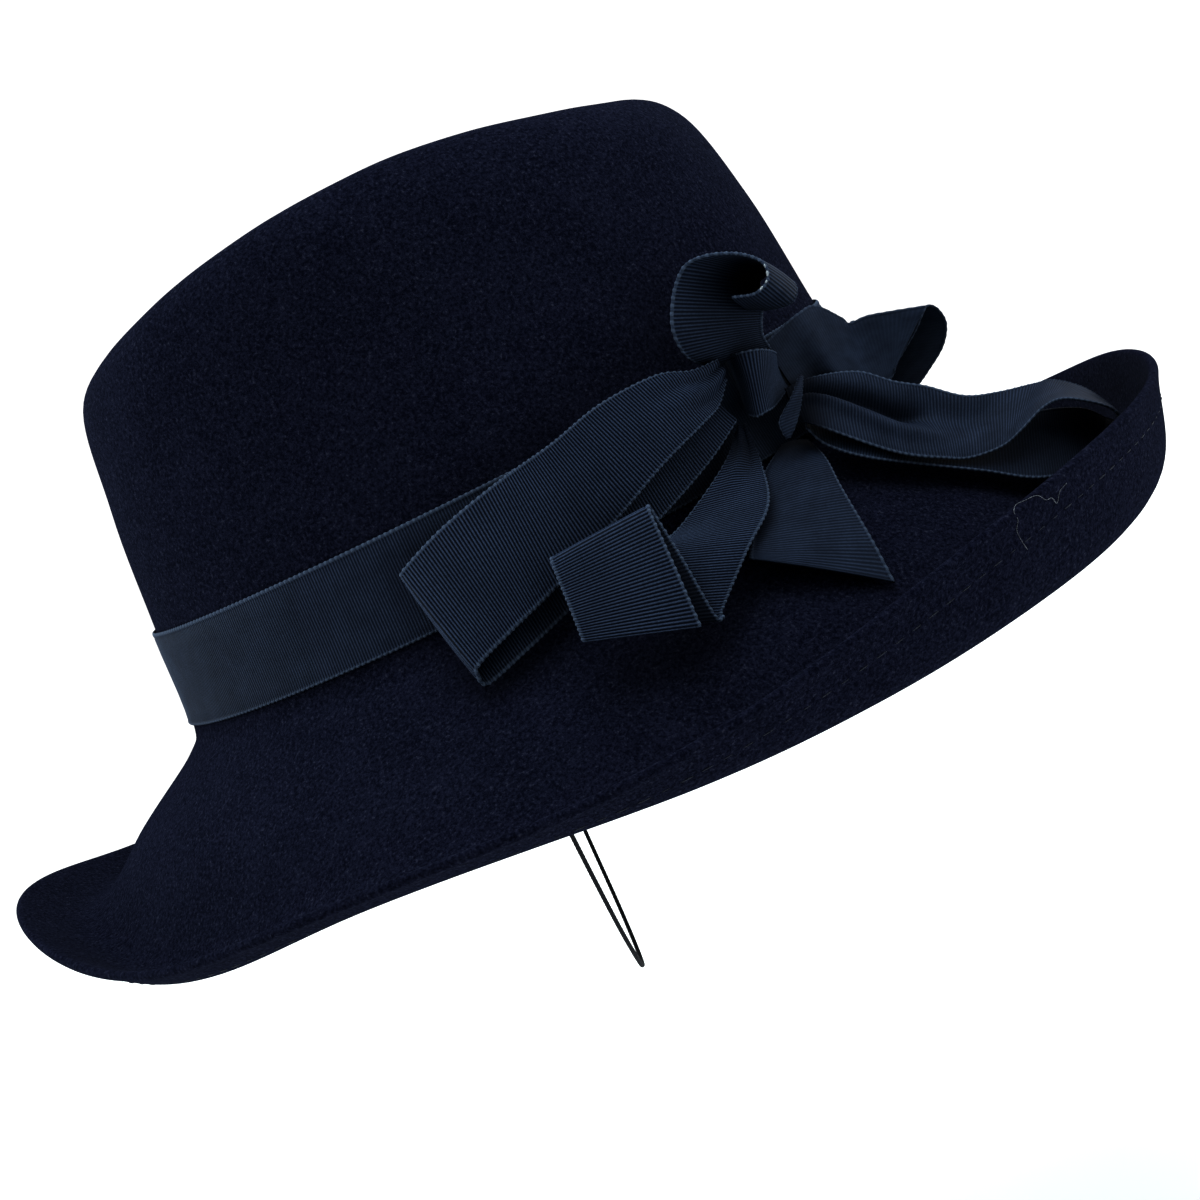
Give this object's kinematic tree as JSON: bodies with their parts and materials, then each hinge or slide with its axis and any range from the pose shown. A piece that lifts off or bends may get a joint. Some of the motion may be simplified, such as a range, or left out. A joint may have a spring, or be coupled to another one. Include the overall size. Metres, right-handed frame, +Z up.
{
  "type": "wide-brim hat",
  "caption": "Wide-brim felt hat with a dented crown, grosgrain ribbon band, tied ribbon bow at one side and a thin chin elastic.",
  "frame": {"origin": "centre of the head opening, in the plane where the crown meets the brim", "axes": "+Z up along the crown, +X towards the wearer's face, -Y towards the side that carries the bow"},
  "size_m": [0.3398, 0.2958, 0.2256],
  "materials": {
    "felt": "navy wool felt, brushed matt nap",
    "ribbon": "navy grosgrain ribbon, fine crosswise ribs, soft sheen",
    "elastic": "black braided round elastic"
  },
  "bodies": {
    "root": {"felt_body": "felt", "ribbon_band": "ribbon", "bow_knot": "ribbon", "bow_tuck": "ribbon", "bow_tail_curled": "ribbon", "bow_loop_back": "ribbon", "bow_tail_folded": "ribbon", "bow_tail_pointed": "ribbon", "bow_loop_front_low": "ribbon", "bow_loop_front_high": "ribbon", "bow_pleat_front": "ribbon", "chin_elastic": "elastic"}
  },
  "joints": []
}
